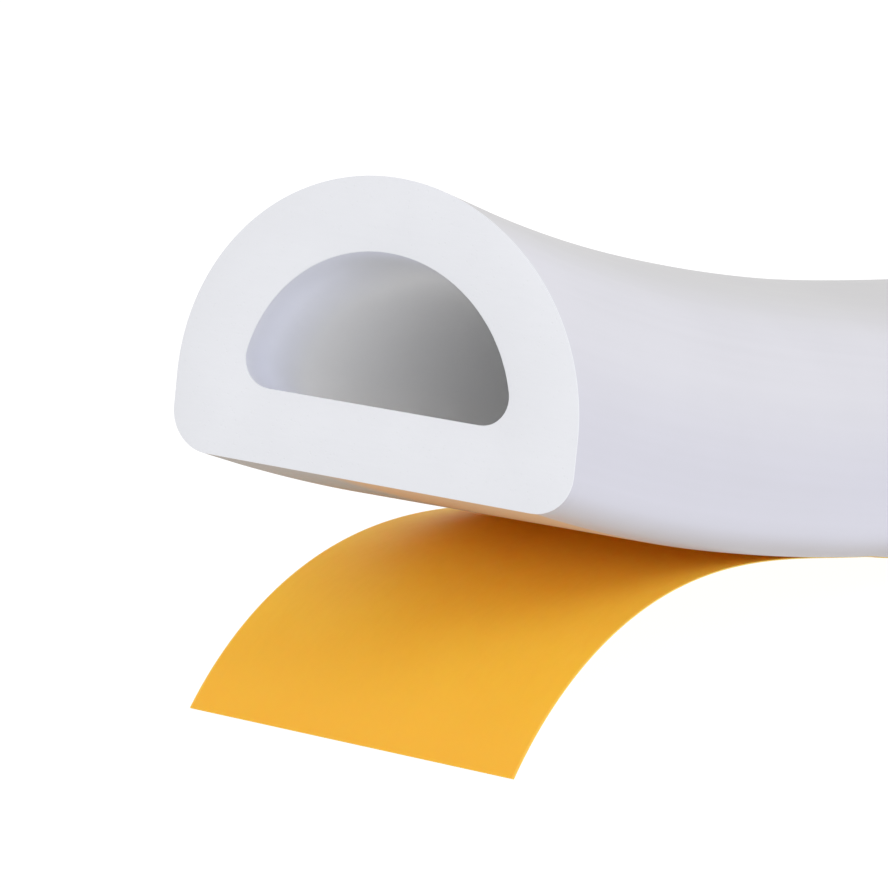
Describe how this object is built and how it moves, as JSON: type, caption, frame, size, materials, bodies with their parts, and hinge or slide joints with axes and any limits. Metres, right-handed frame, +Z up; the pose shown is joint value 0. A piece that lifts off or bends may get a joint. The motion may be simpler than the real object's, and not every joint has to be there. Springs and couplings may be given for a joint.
{
  "type": "door weatherstrip",
  "caption": "Self-adhesive hollow D-section rubber door weatherstrip, laid straight, with its near end lifted and the amber release liner peeled back from it.",
  "frame": {"origin": "middle of the liner's underside where the straight run starts, on the floor", "axes": "+X along the straight run towards the far cut end, +Z up out of the floor, +Y across the strip away from the side that the near end bends to"},
  "size_m": [0.9976, 0.0313, 0.0184],
  "materials": {
    "white_rubber": "satin",
    "amber_liner": "satin"
  },
  "bodies": {
    "root": {"rubber_profile": "white_rubber", "release_liner": "amber_liner"}
  },
  "joints": []
}
